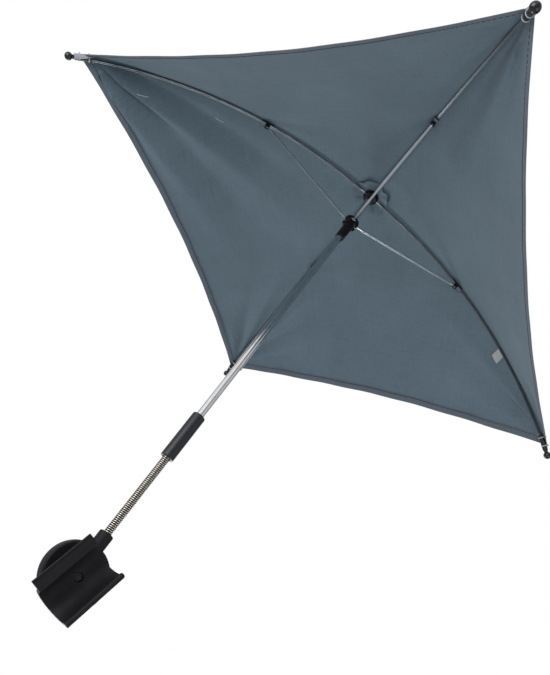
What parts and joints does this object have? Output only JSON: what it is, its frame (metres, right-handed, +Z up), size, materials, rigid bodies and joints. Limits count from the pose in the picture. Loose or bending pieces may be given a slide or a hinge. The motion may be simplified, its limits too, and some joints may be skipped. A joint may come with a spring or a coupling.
{
  "type": "pram parasol",
  "caption": "Square folding parasol on a chromed shaft, with a bendable gooseneck and a swivelling push-on clip for a pram tube",
  "frame": {"origin": "middle of the clip's bore axis, where the pram's tube lies", "axes": "+Z up along the shaft, -Y out of the clip's mouth, +X to the right of someone facing the clip's mouth"},
  "size_m": [0.8477, 0.8478, 0.7523],
  "materials": {
    "black_plastic": "fine moulded grain",
    "washer_plastic": "smooth nylon",
    "plated_steel": "zinc plated",
    "coil_steel": "nickel plated",
    "core_steel": "plain drawn",
    "shaft_chrome": "polished chrome",
    "rib_steel": "zinc plated strip",
    "spring_steel": "plain spring strip",
    "canopy_fabric": "plain woven polyester",
    "label_fabric": "plain satin tape"
  },
  "bodies": {
    "clip": {"clip_shell": "black_plastic", "pivot_nut": "plated_steel", "pivot_screw": "plated_steel", "friction_washer": "washer_plastic", "spring_washer": "plated_steel"},
    "swivel": {"swivel_disc": "black_plastic", "disc_cover": "black_plastic"},
    "neck": {"gooseneck_coil": "coil_steel", "gooseneck_core": "core_steel"},
    "shaft": {"coupling_sleeve": "black_plastic", "shaft_tube": "shaft_chrome", "crown": "black_plastic", "crown_pins": "plated_steel", "top_cap": "black_plastic", "rosette": "canopy_fabric", "canopy": "canopy_fabric"},
    "runner": {"runner": "black_plastic"},
    "top_catch": {"top_catch": "spring_steel"},
    "bottom_catch": {"bottom_catch": "spring_steel"},
    "rib_right": {"rib_right": "rib_steel", "rib_clip_right": "black_plastic", "rib_rivet_right": "plated_steel", "tip_cap_right": "black_plastic", "care_label": "label_fabric"},
    "stretcher_right": {"stretcher_right": "rib_steel", "stretcher_pin_right": "plated_steel"},
    "rib_rear": {"rib_rear": "rib_steel", "rib_clip_rear": "black_plastic", "rib_rivet_rear": "plated_steel", "tip_cap_rear": "black_plastic"},
    "stretcher_rear": {"stretcher_rear": "rib_steel", "stretcher_pin_rear": "plated_steel"},
    "rib_left": {"rib_left": "rib_steel", "rib_clip_left": "black_plastic", "rib_rivet_left": "plated_steel", "tip_cap_left": "black_plastic"},
    "stretcher_left": {"stretcher_left": "rib_steel", "stretcher_pin_left": "plated_steel"},
    "rib_front": {"rib_front": "rib_steel", "rib_clip_front": "black_plastic", "rib_rivet_front": "plated_steel", "tip_cap_front": "black_plastic"},
    "stretcher_front": {"stretcher_front": "rib_steel", "stretcher_pin_front": "plated_steel"}
  },
  "joints": [
    {"name": "clip_swivel", "type": "hinge", "parent": "clip", "child": "swivel", "pos_m": [0.00124, 0.034, 0.00536], "axis": [0, 1, 0], "range_deg": [-90, 90]},
    {"name": "neck_tilt", "type": "hinge", "parent": "swivel", "child": "neck", "pos_m": [0.00124, 0.034, 0.08781], "axis": [1, 0, 0], "range_deg": [-45, 45], "deforming": ["gooseneck_coil", "gooseneck_core"]},
    {"name": "neck_lean", "type": "hinge", "parent": "neck", "child": "shaft", "pos_m": [0.00124, 0.034, 0.14271], "axis": [0, 1, 0], "range_deg": [-45, 45], "deforming": ["gooseneck_coil", "gooseneck_core"]},
    {"name": "runner_slide", "type": "slide", "parent": "shaft", "child": "runner", "axis": [0, 0, -1], "range_m": [0, 0.2838], "deforming": ["canopy", "top_catch", "bottom_catch"]},
    {"name": "top_catch_press", "type": "slide", "parent": "shaft", "child": "top_catch", "axis": [-0.454, 0.891, 0], "range_m": [0, 0.003], "stiffness_N_per_m": 900},
    {"name": "bottom_catch_press", "type": "slide", "parent": "shaft", "child": "bottom_catch", "axis": [-0.891, -0.454, 0], "range_m": [0, 0.003], "stiffness_N_per_m": 900},
    {"name": "rib_fold_right", "type": "hinge", "parent": "shaft", "child": "rib_right", "pos_m": [0.01018, 0.0311, 0.69866], "axis": [0.309, 0.9511, 0], "range_deg": [0, 68.21]},
    {"name": "stretcher_fold_right", "type": "hinge", "parent": "rib_right", "child": "stretcher_right", "pos_m": [0.1778, -0.02337, 0.67118], "axis": [-0.309, -0.9511, 0], "range_deg": [0, 133.11]},
    {"name": "rib_fold_rear", "type": "hinge", "parent": "shaft", "child": "rib_rear", "pos_m": [0.00414, 0.04294, 0.69866], "axis": [-0.9511, 0.309, 0], "range_deg": [0, 68.21]},
    {"name": "stretcher_fold_rear", "type": "hinge", "parent": "rib_rear", "child": "stretcher_rear", "pos_m": [0.05861, 0.21056, 0.67118], "axis": [0.9511, -0.309, 0], "range_deg": [0, 133.11]},
    {"name": "rib_fold_left", "type": "hinge", "parent": "shaft", "child": "rib_left", "pos_m": [-0.0077, 0.03691, 0.69866], "axis": [-0.309, -0.9511, 0], "range_deg": [0, 68.21]},
    {"name": "stretcher_fold_left", "type": "hinge", "parent": "rib_left", "child": "stretcher_left", "pos_m": [-0.17533, 0.09137, 0.67118], "axis": [0.309, 0.9511, 0], "range_deg": [0, 133.11]},
    {"name": "rib_fold_front", "type": "hinge", "parent": "shaft", "child": "rib_front", "pos_m": [-0.00167, 0.02506, 0.69866], "axis": [0.9511, -0.309, 0], "range_deg": [0, 68.21]},
    {"name": "stretcher_fold_front", "type": "hinge", "parent": "rib_front", "child": "stretcher_front", "pos_m": [-0.05613, -0.14256, 0.67118], "axis": [-0.9511, 0.309, 0], "range_deg": [0, 133.11]}
  ],
  "couplings": [
    {"joint": "rib_fold_right", "follows": "runner_slide", "rad_per_m": 4.195},
    {"joint": "stretcher_fold_right", "follows": "runner_slide", "rad_per_m": 8.186},
    {"joint": "rib_fold_rear", "follows": "runner_slide", "rad_per_m": 4.195},
    {"joint": "stretcher_fold_rear", "follows": "runner_slide", "rad_per_m": 8.186},
    {"joint": "rib_fold_left", "follows": "runner_slide", "rad_per_m": 4.195},
    {"joint": "stretcher_fold_left", "follows": "runner_slide", "rad_per_m": 8.186},
    {"joint": "rib_fold_front", "follows": "runner_slide", "rad_per_m": 4.195},
    {"joint": "stretcher_fold_front", "follows": "runner_slide", "rad_per_m": 8.186}
  ]
}
